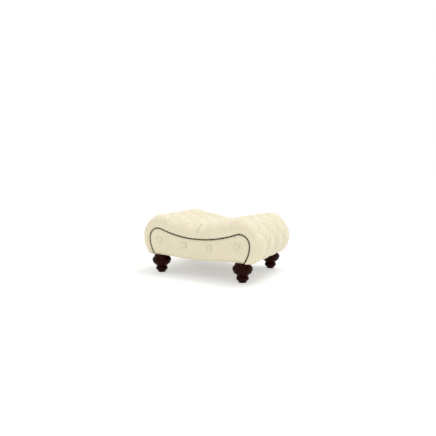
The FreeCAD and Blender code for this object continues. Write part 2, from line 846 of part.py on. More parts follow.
nodes["dust_cover_tacks"] = Part.makeCompound(dust_tacks(0))

os.makedirs("parts", exist_ok=True)
for name, shape in nodes.items():
    shape.exportStep("parts/" + name + ".step")
    print(name, len(shape.Solids), "solids", round(shape.Volume), "mm3", "valid", shape.isValid())
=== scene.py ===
import math

import bmesh
import bpy
import numpy as np
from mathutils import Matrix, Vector


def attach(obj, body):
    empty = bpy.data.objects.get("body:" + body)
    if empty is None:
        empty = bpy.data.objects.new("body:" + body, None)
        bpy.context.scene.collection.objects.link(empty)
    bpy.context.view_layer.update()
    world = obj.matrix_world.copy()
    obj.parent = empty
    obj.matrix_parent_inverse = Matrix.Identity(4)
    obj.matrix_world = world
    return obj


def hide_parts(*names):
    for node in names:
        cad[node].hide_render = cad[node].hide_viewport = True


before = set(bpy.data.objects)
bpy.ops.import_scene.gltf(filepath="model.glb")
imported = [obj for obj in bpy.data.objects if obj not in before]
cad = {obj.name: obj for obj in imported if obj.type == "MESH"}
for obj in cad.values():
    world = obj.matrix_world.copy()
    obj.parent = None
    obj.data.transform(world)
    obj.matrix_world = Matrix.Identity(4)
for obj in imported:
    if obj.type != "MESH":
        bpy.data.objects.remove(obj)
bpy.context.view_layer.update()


# Camera
# It stands in front and to the right of the stool, a little above the seat, and looks slightly down.
# Lengths in this file are in millimetres, and are multiplied by MM where metres are needed.

MM = 0.001
camera_place = (1510.9 * MM, -2781.3 * MM, 741.5 * MM)
camera_pitch, camera_turn = 83.3, 28.4
sensor_width, lens = 36.0, 37.57

camera_data = bpy.data.cameras.new("photo_camera")
camera_data.sensor_width = sensor_width
camera_data.lens = lens
camera = bpy.data.objects.new("photo_camera", camera_data)
camera.location = camera_place
camera.rotation_euler = (math.radians(camera_pitch), 0, math.radians(camera_turn))
bpy.context.scene.collection.objects.link(camera)
bpy.context.scene.camera = camera


# Timber frame
# Beech rails and blocks with birch plywood boards, sawn and planed, glued and screwed together. Only their
# undersides show, round the dust cover, and only from below.

# A real pore is some 0.1 mm wide. It is drawn 2.4 mm wide, so that it shows. A flat cut turns the rings
# into bands about 20 mm wide.
pore_width, pore_depth = 2.4 * MM, 0.3 * MM
ring_width = 8 * pore_width
grain_lift = 0.1             # added to rings times pores


def linear(hex_colour):
    """An sRGB hex colour as linear red, green, blue and alpha."""
    parts = [int(hex_colour[i:i + 2], 16) / 255 for i in (1, 3, 5)]
    return [c / 12.92 if c <= 0.04045 else ((c + 0.055) / 1.055) ** 2.4 for c in parts] + [1.0]


def node(tree, kind, values=None, links=None, **settings):
    """Adds a node with its settings, socket values and links, and returns it."""
    made = tree.nodes.new(kind)
    for name, value in settings.items():
        setattr(made, name, value)
    for socket, value in (values or {}).items():
        made.inputs[socket].default_value = value
    for socket, source in (links or {}).items():
        tree.links.new(source, made.inputs[socket])
    return made


def new_material(name, roughness, metallic=0.0):
    """A material with its Principled shader. Returns the material, its tree and the shader."""
    material = bpy.data.materials.new(name)
    material.use_nodes = True
    shader = material.node_tree.nodes["Principled BSDF"]
    shader.inputs["Roughness"].default_value = roughness
    shader.inputs["Metallic"].default_value = metallic
    return material, material.node_tree, shader


def timber(name, light, dark, roughness, stretch):
    """Straight-grained timber: pores and rings drawn out along one axis."""
    material, tree, shader = new_material(name, roughness)
    place = node(tree, "ShaderNodeTexCoord")
    drawn = node(tree, "ShaderNodeMapping", {"Scale": stretch}, {"Vector": place.outputs["Object"]})
    rings = node(tree, "ShaderNodeTexNoise", {"Scale": 1 / ring_width, "Detail": 5.0},
                 {"Vector": drawn.outputs["Vector"]})
    pores = node(tree, "ShaderNodeTexNoise", {"Scale": 1 / pore_width, "Detail": 2.0},
                 {"Vector": drawn.outputs["Vector"]})
    both = node(tree, "ShaderNodeMath", {2: grain_lift},
                {0: rings.outputs["Fac"], 1: pores.outputs["Fac"]}, operation="MULTIPLY_ADD")
    colour = node(tree, "ShaderNodeMix", {"A": linear(light), "B": linear(dark)},
                  {"Factor": both.outputs[0]}, data_type="RGBA")
    tree.links.new(colour.outputs["Result"], shader.inputs["Base Color"])
    bump = node(tree, "ShaderNodeBump", {"Strength": 0.2, "Distance": pore_depth},
                {"Height": pores.outputs["Fac"]})
    tree.links.new(bump.outputs["Normal"], shader.inputs["Normal"])
    return material


def dress(names, material):
    """Gives CAD nodes a material, in every slot of theirs."""
    for name in names:
        cad[name].data.materials.clear()
        cad[name].data.materials.append(material)


# Beech, planed and left bare: a warm, even light brown, matt, with fine pores.
beech = timber("planed_beech", "#d9b98c", "#b98f5f", 0.55, (0.12, 1.0, 1.0))
# Birch plywood, sanded: paler and yellower, with long soft streaks.
birch = timber("birch_plywood", "#e0c79c", "#c4a06c", 0.6, (0.15, 1.0, 1.0))
corners = [end + "_" + side for end in ("front", "back") for side in ("left", "right")]
dress(["front_rail", "back_rail", "left_end_rail", "right_end_rail", "left_crest_rail",
       "right_crest_rail", "cross_rail"] + [corner + "_leg_block" for corner in corners], beech)
dress(["front_profile_board", "back_profile_board", "left_end_board", "right_end_board"], birch)


# Webbing, hessian and dust cover
# Jute webbing stretched and tacked over the rails, jute hessian laid over it, and a black cotton cover
# tacked under the frame. All three are plain weaves.

webbing_thread, hessian_thread, cotton_thread = 1.6 * MM, 1.8 * MM, 1.0 * MM
thread_depth = 0.4 * MM
yarn_run = 20                # threads from one uneven stretch of yarn to the next
wave_share = 2 / 6.28        # about the wave texture's scale for one thread to the metre


def woven(name, light, dark, pitch, roughness):
    """A plain weave: two sets of threads as crossed waves, with uneven yarn."""
    material, tree, shader = new_material(name, roughness)
    place = node(tree, "ShaderNodeTexCoord")
    waves = [node(tree, "ShaderNodeTexWave", {"Scale": wave_share / pitch, "Distortion": 0.6},
                  {"Vector": place.outputs["Object"]}, bands_direction=axis) for axis in ("X", "Y")]
    cross = node(tree, "ShaderNodeMath", {}, {0: waves[0].outputs["Fac"], 1: waves[1].outputs["Fac"]},
                 operation="MAXIMUM")
    yarn = node(tree, "ShaderNodeTexNoise", {"Scale": 1 / (yarn_run * pitch), "Detail": 3.0},
                {"Vector": place.outputs["Object"]})
    tone = node(tree, "ShaderNodeMath", {}, {0: cross.outputs[0], 1: yarn.outputs["Fac"]},
                operation="MULTIPLY")
    colour = node(tree, "ShaderNodeMix", {"A": linear(dark), "B": linear(light)},
                  {"Factor": tone.outputs[0]}, data_type="RGBA")
    tree.links.new(colour.outputs["Result"], shader.inputs["Base Color"])
    bump = node(tree, "ShaderNodeBump", {"Strength": 0.5, "Distance": thread_depth},
                {"Height": cross.outputs[0]})
    tree.links.new(bump.outputs["Normal"], shader.inputs["Normal"])
    return material


# Jute webbing, black and undyed threads: a coarse, matt, dark grey-brown band.
webbing = woven("jute_webbing", "#8d8676", "#2a2623", webbing_thread, 0.8)
dress(["lengthwise_webbing", "crosswise_webbing"], webbing)
# Jute hessian, undyed: golden brown and dull, with gaps between its threads.
hessian = woven("jute_hessian", "#b39a6d", "#6d5836", hessian_thread, 0.9)
dress(["hessian"], hessian)
# Black cotton: close woven, nearly even black. Its threads lie about 0.5 mm apart and are drawn 1 mm
# apart, so that they show.
cotton = woven("black_cotton", "#2c2b2b", "#141313", cotton_thread, 0.85)
dress(["dust_cover"], cotton)


# Hardware
# Steel bolts, inserts, screws and tacks with a zinc finish, driven into the frame, and moulded nylon
# glides nailed under the feet.

zinc_patch, nylon_grit = 6 * MM, 1.2 * MM


def plated(name, light, dark, roughness, patch):
    """Plated or patinated metal: a cloudy tone and an uneven gloss."""
    material, tree, shader = new_material(name, roughness, 1.0)
    place = node(tree, "ShaderNodeTexCoord")
    cloud = node(tree, "ShaderNodeTexNoise", {"Scale": 1 / patch, "Detail": 4.0},
                 {"Vector": place.outputs["Object"]})
    spread = node(tree, "ShaderNodeMapRange", {"From Min": 0.35, "From Max": 0.65},
                  {"Value": cloud.outputs["Fac"]})
    colour = node(tree, "ShaderNodeMix", {"A": linear(light), "B": linear(dark)},
                  {"Factor": spread.outputs["Result"]}, data_type="RGBA")
    tree.links.new(colour.outputs["Result"], shader.inputs["Base Color"])
    gloss = node(tree, "ShaderNodeMapRange", {"To Min": roughness - 0.08, "To Max": roughness + 0.12},
                 {"Value": cloud.outputs["Fac"]})
    tree.links.new(gloss.outputs["Result"], shader.inputs["Roughness"])
    return material


# Zinc-plated steel: a cool grey shine, a little cloudy.
zinc = plated("zinc_plated_steel", "#b9bcc0", "#93979c", 0.35, zinc_patch)
dress(["hanger_bolts", "threaded_inserts", "frame_screws", "webbing_tacks", "dust_cover_tacks"],
      zinc)

# Moulded black nylon: half matt, with a fine uneven grit. The grit of its mould is near 0.1 mm and is drawn
# 1.2 mm wide, so that it shows.
nylon, nylon_tree, nylon_shader = new_material("moulded_nylon", 0.5)
nylon_place = node(nylon_tree, "ShaderNodeTexCoord")
nylon_tone = node(nylon_tree, "ShaderNodeTexNoise", {"Scale": 1 / nylon_grit},
                  {"Vector": nylon_place.outputs["Object"]})
nylon_colour = node(nylon_tree, "ShaderNodeMix", {"A": linear("#1c1918"), "B": linear("#2b2726")},
                    {"Factor": nylon_tone.outputs["Fac"]}, data_type="RGBA")
nylon_tree.links.new(nylon_colour.outputs["Result"], nylon_shader.inputs["Base Color"])
dress(["leg_glides"], nylon)


# Seat cushion
# Cream cowhide over foam and wadding, drawn down by covered buttons into diamond pleats. It is rolled over
# the front and back edges to the nail line and turned under the ends.

overall_length, overall_depth = 892.0, 580.0
crest_height, hollow_height, crest_radius = 402.0, 361.0, 154.0
body_bottom = 132.0
foot_of_ends = 398.0         # from the middle to the lower edge of an end
nail_plane = 275.0           # from the middle to the nail line, front or back
nail_hollow_height, nail_crest_height, nail_crest_radius = 257.5, 312.0, 68.0
nail_crest_x, nail_foot = 307.0, 338.0
nail_band, nail_joint = 6.0, 1.2
border_roll = 72.0           # from the outermost buttons to the front of a rolled border
lip_share = 0.3              # where the border stands furthest forward, of its width

button_width = 22.0
last_button = 3              # half pitches from the middle to the outermost button of a row
flat_half = overall_depth / 2 - border_roll
half_pitch = (flat_half - button_width / 2) / last_button
end_row_step, lower_stretch = 104.0, 110.0
top_rows, end_rows = 3, 2
last_row = top_rows + end_rows
button_sink, pleat_sink, valley_sink = 17.0, 10.0, 13.0
middle_pleat_sink, edge_pleat_sink, end_edge_pleat_sink, lower_pleat_sink = 22.0, 9.0, 3.0, 6.0
pleat_sharpness, pleat_width = 0.6, 5.0
border_easing = 4            # how soon a border pleat leaves the depth of its button
lower_fade_share = 0.5       # share of a pleat's painted shade, hold and folds lost towards the lower edge
rim_rise, rim_width = 2.0, 17.0

steps_per_row, steps_across, lower_points = 12, 8, 12
roll_steps, lip_steps, flap_steps = 12, 5, 6
lip_step = 5.0
turned_under = (345.0, 351.0)    # where the turned hide ends, between the profile boards and at them
board_line = (252.0, 272.0)      # from the middle to the inner and the outer face of a profile board
flap_share = 0.97                # of the way that the turned hide goes


def saddle(hollow_z, crest_z, crest_x, radius, foot_x):
    """Half of a saddle outline in three tangent arcs: hollow, crest and lower curve."""
    centre_z = crest_z - radius
    rise = hollow_z - centre_z
    hollow_r = (crest_x ** 2 + rise ** 2 - radius ** 2) / (2 * (radius - rise))
    hollow_angle = math.asin(crest_x / (hollow_r + radius))
    inset, drop = crest_x + radius - foot_x, centre_z - body_bottom
    lower_r = (inset ** 2 + drop ** 2) / (2 * inset)
    lower_angle = math.atan2(drop, lower_r - inset)
    lengths = (hollow_r * hollow_angle, radius * (hollow_angle + math.pi / 2), lower_r * lower_angle)
    return dict(hollow_z=hollow_z, hollow_r=hollow_r, hollow_angle=hollow_angle, crest_x=crest_x,
                centre_z=centre_z, radius=radius, lower_r=lower_r, lower_angle=lower_angle, lengths=lengths)


def nail_saddle(offset):
    """The nail line's outline, moved outwards."""
    return saddle(nail_hollow_height + offset, nail_crest_height + offset, nail_crest_x,
                  nail_crest_radius + offset, nail_foot + offset)


body_line = saddle(hollow_height, crest_height, overall_length / 2 - crest_radius, crest_radius,
                   foot_of_ends)
nail_line = nail_saddle(0)
whole_length = sum(body_line["lengths"])
top_row_step = (whole_length - end_rows * end_row_step - lower_stretch) / top_rows


def on_saddle(line, station):
    """Points (x, z) at stations: 0 to 1 along the hollow, to 2 over the crest, to 3 down the lower curve."""
    t = np.abs(station)
    hollow = np.minimum(t, 1) * line["hollow_angle"]
    crest = (t - 1) * (line["hollow_angle"] + math.pi / 2) - line["hollow_angle"]
    lower = (t - 2) * line["lower_angle"]
    x = np.select([t <= 1, t <= 2], [line["hollow_r"] * np.sin(hollow),
                                     line["crest_x"] + line["radius"] * np.sin(crest)],
                  line["crest_x"] + line["radius"] + line["lower_r"] * (np.cos(lower) - 1))
    z = np.select([t <= 1, t <= 2], [line["hollow_z"] + line["hollow_r"] * (1 - np.cos(hollow)),
                                     line["centre_z"] + line["radius"] * np.cos(crest)],
                  line["centre_z"] - line["lower_r"] * np.sin(lower))
    return np.where(station < 0, -x, x), z


def station_at(line, length):
    """Stations of points that lie these lengths along the outline from the middle."""
    left = np.abs(length)
    hollow, crest, lower = line["lengths"]
    t = np.select([left <= hollow, left <= hollow + crest], [left / hollow, 1 + (left - hollow) / crest],
                  2 + np.minimum((left - hollow - crest) / lower, 1))
    return np.where(length < 0, -t, t)


def row_of(length):
    """Continuous number of the button row at lengths along the outline."""
    top_length = top_rows * top_row_step
    left = np.abs(length)
    row = np.where(left <= top_length, left / top_row_step, top_rows + (left - top_length) / end_row_step)
    return np.where(length < 0, -row, row)


def seat_lengths():
    """Lengths along the outline at which the hide has a line of points."""
    top = np.arange(top_rows * steps_per_row) / steps_per_row * top_row_step
    end = top_rows * top_row_step + np.arange(end_rows * steps_per_row) / steps_per_row * end_row_step
    low = np.linspace(whole_length - lower_stretch, whole_length, lower_points)
    half = np.concatenate([top, end, low])
    return np.concatenate([-half[:0:-1], half])


def seat_base(length):
    """The hide without its buttons: points over lengths and across the depth, and their depth numbers.

    A depth number counts half pitches from the middle, on over the rolled border to the nail line."""
    station = station_at(body_line, length)
    ox, oz = on_saddle(body_line, station)
    lx, lz = on_saddle(nail_line, station)
    ex, ez = on_saddle(nail_saddle(nail_joint), station)
    width = np.hypot(ox - lx, oz - lz)
    dx, dz = (ox - lx) / width, (oz - lz) / width
    lip = lip_share * width
    half_depth = overall_depth / 2
    columns, depth = [], []
    for y in np.append(np.arange(last_button * steps_across + 1) / steps_across * half_pitch, flat_half):
        columns.append((ox, np.full_like(ox, y), oz))
        depth.append(y / half_pitch)
    for turn in np.linspace(0, math.pi / 2, roll_steps + 1)[1:]:
        out = lip + (width - lip) * math.cos(turn)
        y = flat_half + (half_depth - flat_half) * math.sin(turn)
        columns.append((lx + dx * out, np.full_like(ox, y), lz + dz * out))
        depth.append(depth[-1] + border_roll / half_pitch / roll_steps)
    for turn in np.linspace(0, math.pi / 2, lip_steps + 1)[1:]:
        out = nail_band + (lip - nail_band) * (1 - math.sin(turn))
        y = nail_plane + (half_depth - nail_plane) * math.cos(turn)
        columns.append((lx + dx * out, np.full_like(ox, y), lz + dz * out))
        depth.append(depth[-1] + lip_step / half_pitch)
    columns.append((ex, np.full_like(ox, nail_plane), ez))
    depth.append(depth[-1] + lip_step / half_pitch)
    half = np.array(columns).transpose(2, 0, 1)
    front = half[:, :0:-1].copy()
    front[:, :, 1] *= -1
    depth = np.array(depth)
    return np.concatenate([front, half], axis=1), np.concatenate([-depth[:0:-1], depth])


def puff(share):
    """Height of a puff from 0 at its pleat to 1 at its middle, steep beside the pleat."""
    return np.clip(4 * share * (1 - share), 0, 1) ** pleat_sharpness


def buttoning(length, depth):
    """Over the grid: how far the hide is drawn in, how near a pleat is, and how far a button is, in mm."""
    # The pleats of the diamonds run where a or b is whole, and a button sits where both are.
    row, across = row_of(length)[:, None], depth[None, :]
    rows = np.clip(row, -last_row, last_row)
    inner = np.clip(across, -last_button, last_button)
    a, b = (rows + inner + 1) / 2, (rows - inner + 1) / 2
    diamond = button_sink - pleat_sink * (puff(a % 1) + puff(b % 1)) \
        - (button_sink - 2 * pleat_sink) * np.minimum(puff(a % 1), puff(b % 1))

    # On the rolled borders a straight pleat runs on from each outermost button and fades at the lip.
    on_border = np.abs(across) > last_button
    past = np.abs(across) - last_button
    easing = 1 - (1 - np.clip(past / (border_roll / half_pitch), 0, 1)) ** border_easing
    lip = np.clip((past - border_roll / half_pitch) * half_pitch / (lip_step * lip_steps), 0, 1)
    edge = np.select([np.abs(row) < 1, np.abs(row) < top_rows], [middle_pleat_sink, edge_pleat_sink],
                     end_edge_pleat_sink)
    fold = (rows / 2) % 1
    border = (button_sink + (edge - button_sink) * easing) * (1 - puff(fold)) * (1 - lip) ** 2
    valley = valley_sink * np.clip(1 - np.abs(row), 0, 1)
    sink = np.maximum(np.where(on_border, border, diamond), valley * (1 - lip) ** 2)
    below = np.clip((np.abs(row) - last_row) * end_row_step / lower_stretch, 0, 1)
    sink = sink * (1 - (1 - lower_pleat_sink / button_sink) * below)

    # How far the nearest pleat and the nearest button are.
    da, db = a - np.round(a), b - np.round(b)
    away = np.where(on_border, np.minimum(fold, 1 - fold) * 2,
                    np.minimum(np.abs(da), np.abs(db)) * math.sqrt(2))
    shallow = np.where(on_border, (edge / middle_pleat_sink) ** easing * (1 - lip), 1.0)
    pleat = np.exp(-(away * half_pitch / pleat_width) ** 2) * shallow * (1 - lower_fade_share * below)
    step = np.where(np.abs(row) < top_rows, top_row_step, end_row_step)
    button = np.hypot((da + db) * step + (row - rows) * step, (da - db + across - inner) * half_pitch)
    return sink, pleat, button


def surface_normals(points):
    """Outward unit normals of a grid of points."""
    normal = np.cross(np.gradient(points, axis=0), np.gradient(points, axis=1))
    normal /= np.linalg.norm(normal, axis=2, keepdims=True)
    middle = np.array([0, 0, body_bottom])
    return -normal if (normal * (points - middle)).sum() < 0 else normal


def flap(edge):
    """Rows of points from a lower edge of the hide, turned under the end as far as the frame."""
    inner = np.where(np.abs(edge[:, 1]) <= board_line[0], turned_under[0], turned_under[1])
    target = edge.copy()
    target[:, 0] = np.sign(edge[:, 0]) * np.minimum(np.abs(edge[:, 0]), inner)
    target[:, 1] = np.clip(edge[:, 1], -board_line[1], board_line[1])
    return [edge + (target - edge) * flap_share * i / flap_steps for i in range(1, flap_steps + 1)]


def grid_faces(rows, columns, flip=False):
    """Quads of a grid of vertices stored row by row."""
    i = np.arange(rows - 1)[:, None] * columns + np.arange(columns - 1)[None, :]
    quads = np.stack([i, i + 1, i + columns + 1, i + columns], axis=-1).reshape(-1, 4)
    return quads[:, ::-1] if flip else quads


def add_mesh(name, points, faces, material):
    """A smooth mesh object from points in millimetres."""
    mesh = bpy.data.meshes.new(name)
    mesh.from_pydata((np.asarray(points) * MM).tolist(), [], [list(face) for face in faces])
    mesh.validate()
    mesh.update()
    mesh.materials.append(material)
    mesh.polygons.foreach_set("use_smooth", [True] * len(mesh.polygons))
    made = bpy.data.objects.new(name, mesh)
    bpy.context.scene.collection.objects.link(made)
    return made


def point_values(piece, name, values):
    """Keeps one number per point on a mesh, for its material to read."""
    piece.data.attributes.new(name, "FLOAT", "POINT").data.foreach_set("value", np.ravel(values))


settle_ticks = 20
seat_pressure, seat_swell = 4.0, 4.5
start_inset = 0.5            # how far inside its line the loose hide starts
pleat_hold = 0.45            # how firmly a pleat is held while the hide swells
nailed_columns, tacked_rows = 3, 2    # lines of points held at the nails and at the lower edges


def settle(piece, held, pressure, limit):
    """Swells a hide between its fixed points, as its stuffing does, by no more than a limit in mm."""
    pins = piece.vertex_groups.new(name="held")
    levels = np.round(np.clip(held.ravel(), 0, 1), 1)
    for level in np.unique(levels):
        pins.add(np.flatnonzero(levels == level).tolist(), float(level), "REPLACE")
    cloth = piece.modifiers.new("stuffing", "CLOTH")
    hide = cloth.settings
    hide.vertex_group_mass = "held"
    hide.quality = 5
    hide.mass = 0.25
    hide.tension_stiffness = hide.compression_stiffness = 25
    hide.shear_stiffness = 8
    hide.bending_stiffness = 0.4
    hide.shrink_min = -0.03
    hide.use_pressure = True
    hide.uniform_pressure_force = pressure
    hide.effector_weights.gravity = 0
    cloth.collision_settings.use_collision = False
    cloth.collision_settings.use_self_collision = False
    cloth.point_cache.frame_start, cloth.point_cache.frame_end = 1, settle_ticks
    scene = bpy.context.scene
    for tick in range(1, settle_ticks + 1):
        scene.frame_set(tick)
    swollen = piece.evaluated_get(bpy.context.evaluated_depsgraph_get()).data
    start, end = np.empty(len(piece.data.vertices) * 3), np.empty(len(piece.data.vertices) * 3)
    piece.data.vertices.foreach_get("co", start)
    swollen.vertices.foreach_get("co", end)
    move = (end - start).reshape(-1, 3)
    far = np.linalg.norm(move, axis=1, keepdims=True)
    move *= np.minimum(1, limit * MM / np.maximum(far, MM * MM))
    piece.modifiers.remove(cloth)
    piece.vertex_groups.remove(pins)
    piece.data.vertices.foreach_set("co", start + move.ravel())
    piece.data.update()
    scene.frame_set(1)


fold_height, fold_middle, fold_run = 0.5, 22.0, 9.0
fold_fade_share = 0.5                                # height of a fold lost down in a pleat
fold_waves = ((6, 1.0, 1), (9, 0.7, -2), (13, 0.5, 3))   # folds round a button, height share, turn
fold_turns = (12.9898, 78.233)                       # turns the folds of each button its own way


def soft_folds(row, across):
    """Small folds that run out from each button, in mm, over points with row and depth numbers."""
    rows, inner = np.clip(row, -last_row, last_row), np.clip(across, -last_button, last_button)
    a, b = (rows + inner + 1) / 2, (rows - inner + 1) / 2
    ra, rb = np.round(a), np.round(b)
    step = np.where(np.abs(row) < top_rows, top_row_step, end_row_step)
    along = (a - ra + b - rb + row - rows) * step
    aside = (a - ra - b + rb + across - inner) * half_pitch
    far, turn = np.hypot(along, aside), np.arctan2(aside, along)
    own = fold_turns[0] * ra + fold_turns[1] * rb
    folds = sum(height * np.cos(count * turn + shift * own) for count, height, shift in fold_waves)
    return fold_height * folds * np.exp(-((far - fold_middle) / fold_run) ** 2)


hide_cloud, hide_wrinkle = 90 * MM, 14 * MM
hide_grain, grain_depth, wrinkle_depth = 2.2 * MM, 0.25 * MM, 2.0 * MM
# How strongly the hide is greyed down in its pleats, as a painted shade.
painted_pleat_shade = 0.45


def cowhide(name, light, dark, painted_crease_shade):
    """Pigmented cowhide: fine grain cells, soft wrinkles, and a greyer painted shade down in the pleats and
    dimples.
    """
    material, tree, shader = new_material(name, 0.45)
    shader.inputs["IOR"].default_value = 1.45
    place = node(tree, "ShaderNodeTexCoord")
    cloud = node(tree, "ShaderNodeTexNoise", {"Scale": 1 / hide_cloud, "Detail": 3.0},
                 {"Vector": place.outputs["Object"]})
    spread = node(tree, "ShaderNodeMapRange", {"From Min": 0.35, "From Max": 0.65},
                  {"Value": cloud.outputs["Fac"]})
    hide = node(tree, "ShaderNodeMix", {"A": linear(light), "B": linear(dark)},
                {"Factor": spread.outputs["Result"]}, data_type="RGBA")
    # Painted shade: the colour is mixed towards a greyer one by a value kept on each point, larger down in
    # pleats and dimples.
    painted_shade_amount = node(tree, "ShaderNodeAttribute", attribute_name="painted_crease_shade")
    with_painted_shade = node(tree, "ShaderNodeMix", {"B": linear(painted_crease_shade)},
                 {"Factor": painted_shade_amount.outputs["Fac"], "A": hide.outputs["Result"]}, data_type="RGBA")
    tree.links.new(with_painted_shade.outputs["Result"], shader.inputs["Base Color"])
    cells = node(tree, "ShaderNodeTexVoronoi", {"Scale": 1 / hide_grain}, {"Vector": place.outputs["Object"]},
                 feature="DISTANCE_TO_EDGE")
    wrinkles = node(tree, "ShaderNodeTexNoise", {"Scale": 1 / hide_wrinkle, "Detail": 4.0, "Distortion": 0.8},
                    {"Vector": place.outputs["Object"]})
    grain = node(tree, "ShaderNodeBump", {"Strength": 0.25, "Distance": grain_depth},
                 {"Height": cells.outputs["Distance"]})
    soft = node(tree, "ShaderNodeBump", {"Strength": 0.25, "Distance": wrinkle_depth},
                {"Height": wrinkles.outputs["Fac"], "Normal": grain.outputs["Normal"]})
    tree.links.new(soft.outputs["Normal"], shader.inputs["Normal"])
    gloss = node(tree, "ShaderNodeMapRange", {"To Min": 0.4, "To Max": 0.55},
                 {"Value": wrinkles.outputs["Fac"]})
    tree.links.new(gloss.outputs["Result"], shader.inputs["Roughness"])
    return material


# Cream cowhide, pigmented: smooth and softly satin, a little warmer in places. Its real grain is about
# 1 mm wide and is drawn 2.2 mm wide, so that it shows close up.
# The third colour is the greyer painted shade for the pleats and dimples.
cream = cowhide("cream_cowhide", "#f6ecce", "#f2e8c9", "#c3bfb4")

lengths = seat_lengths()
hide_points, hide_depth = seat_base(lengths)
hide_sink, hide_pleat, hide_button = buttoning(lengths, hide_depth)
tied = np.exp(-(hide_button / rim_width) ** 4)
fixed = np.clip(tied + pleat_hold * hide_pleat, 0, 1)
fixed[:, :nailed_columns] = fixed[:, -nailed_columns:] = 1
fixed[:tacked_rows] = fixed[-tacked_rows:] = 1
inset = hide_sink + start_inset * (1 - fixed) - rim_rise * tied
hide_points = hide_points - surface_normals(hide_points) * inset[:, :, None]
left_flap, right_flap = flap(hide_points[0]), flap(hide_points[-1])
hide_points = np.concatenate([np.array(left_flap[::-1]), hide_points, np.array(right_flap)])
around = ((flap_steps, flap_steps), (0, 0))
hide_faces = grid_faces(*hide_points.shape[:2], flip=True)
seat = add_mesh("leather_seat", hide_points.reshape(-1, 3), hide_faces, cream)
row_numbers = np.broadcast_to(row_of(lengths)[:, None], hide_sink.shape)
depth_numbers = np.broadcast_to(hide_depth[None, :], hide_sink.shape)
folding = (hide_button > button_width / 2) * (1 - fold_fade_share * hide_pleat)
# Painted shade: each point of the hide is greyed by how near a pleat is.
point_values(seat, "painted_crease_shade", np.pad(np.clip(painted_pleat_shade * hide_pleat, 0, 1), around))
point_values(seat, "row", np.pad(row_numbers, around, mode="edge"))
point_values(seat, "across", np.pad(depth_numbers, around, mode="edge"))
point_values(seat, "folding", np.pad(folding, around))
settle(seat, np.pad(fixed, around, constant_values=1), seat_pressure, seat_swell)

# The settled hide is made finer, gets its small folds, and then its thickness, inwards.
hide_thickness = 3.0
finer = seat.modifiers.new("finer", "SUBSURF")
finer.levels = finer.render_levels = 1
dense = bpy.data.meshes.new_from_object(seat.evaluated_get(bpy.context.evaluated_depsgraph_get()))
seat.modifiers.remove(finer)
seat.data = dense
count = len(dense.vertices)
kept = {name: np.empty(count) for name in ("row", "across", "folding")}
for name, values in kept.items():
    dense.attributes[name].data.foreach_get("value", values)
normals, places = np.empty(count * 3), np.empty(count * 3)
dense.vertices.foreach_get("normal", normals)
dense.vertices.foreach_get("co", places)
folds = soft_folds(kept["row"], kept["across"]) * kept["folding"]
dense.vertices.foreach_set("co", places + normals * np.repeat(folds * MM, 3))
dense.update()
thick = seat.modifiers.new("thickness", "SOLIDIFY")
thick.thickness = hide_thickness * MM
thick.offset = -1
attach(seat, "root")
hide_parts("seat_cover", "seat_foam")


# Covered buttons
# Domed moulds covered in the same hide, tied down through the foam on the seat and through the boards in
# the facings.

dress(["top_buttons", "left_end_buttons", "right_end_buttons", "front_panel_buttons",
       "back_panel_buttons"], cream)


# Facings
# One piece of hide over wadding on each profile board, tight at the nail line and soft in the middle,
# with four covered buttons tied through the board. The back is made like the front.

facing_steps, facing_rings = 110, 32
apron_drop, apron_half = 11.0, 251.0
facing_rise, facing_pressure, facing_swell = 8.5, 3.0, 2.5
edge_run = 24.0              # from the nail band in to where the facing stands at its full rise
edge_thickness = 3.7         # at the nail line, from its plane back to the profile board
panel_buttons_at = ((-290.0, 237.0), (-96.7, 211.5), (96.7, 211.5), (290.0, 237.0))
panel_button_width = 25.0
# The dimple tone is a painted shade: the hide is greyed down in each dimple round a button.
dimple_depth, dimple_run, painted_dimple_shade, tone_fade = 8.0, 24.0, 0.6, 1.5
pull_waves = ((7, 0.14, 1), (4, 0.1, -1))    # pulls round a button, reach share, turn
joined_within = 0.01


def facing_sheet():
    """The front of the panel: points from the nail line to the lower edge, and how far it sinks, how far
    the edge is and how far a button is, in mm."""
    t = np.linspace(-1, 1, 2 * facing_steps + 1)
    inner = nail_saddle(-nail_joint)
    top_x, top_z = on_saddle(inner, station_at(inner, t * sum(inner["lengths"])))
    low_x = t * (nail_foot - nail_joint)
    low_z = body_bottom - apron_drop * (1 - np.clip(np.abs(low_x) / apron_half, 0, 1) ** 2)
    down = (1 - np.cos(np.linspace(0, math.pi, facing_rings + 1)[:, None])) / 2
    x, z = top_x * (1 - down) + low_x * down, top_z * (1 - down) + low_z * down
    edge = np.stack([np.append(top_x, low_x), np.append(top_z, low_z)], -1)
    away = np.min([np.hypot(x - ex, z - ez) for ex, ez in edge[::2]], axis=0)
    near = np.clip((away - nail_band + nail_joint) / edge_run, 0, 1)
    rise = (facing_rise - facing_swell * near) * np.sqrt(1 - (1 - near) ** 2)
    sink, button = np.zeros_like(x), np.full_like(x, np.inf)
    for bx, bz in panel_buttons_at:
        far, turn = np.hypot(x - bx, z - bz), np.arctan2(z - bz, x - bx)
        pulls = sum((reach * np.cos(count * turn + shift * bx) for count, reach, shift in pull_waves), 1)
        sink = sink + dimple_depth * np.exp(-(far / (dimple_run * pulls)) ** 2)
        button = np.minimum(button, far)
    sink = np.minimum(sink, dimple_depth)
    rise = rise - sink * (1 - facing_swell / facing_rise)
    return np.stack([x, -(nail_plane + rise), z], -1), sink, away, button


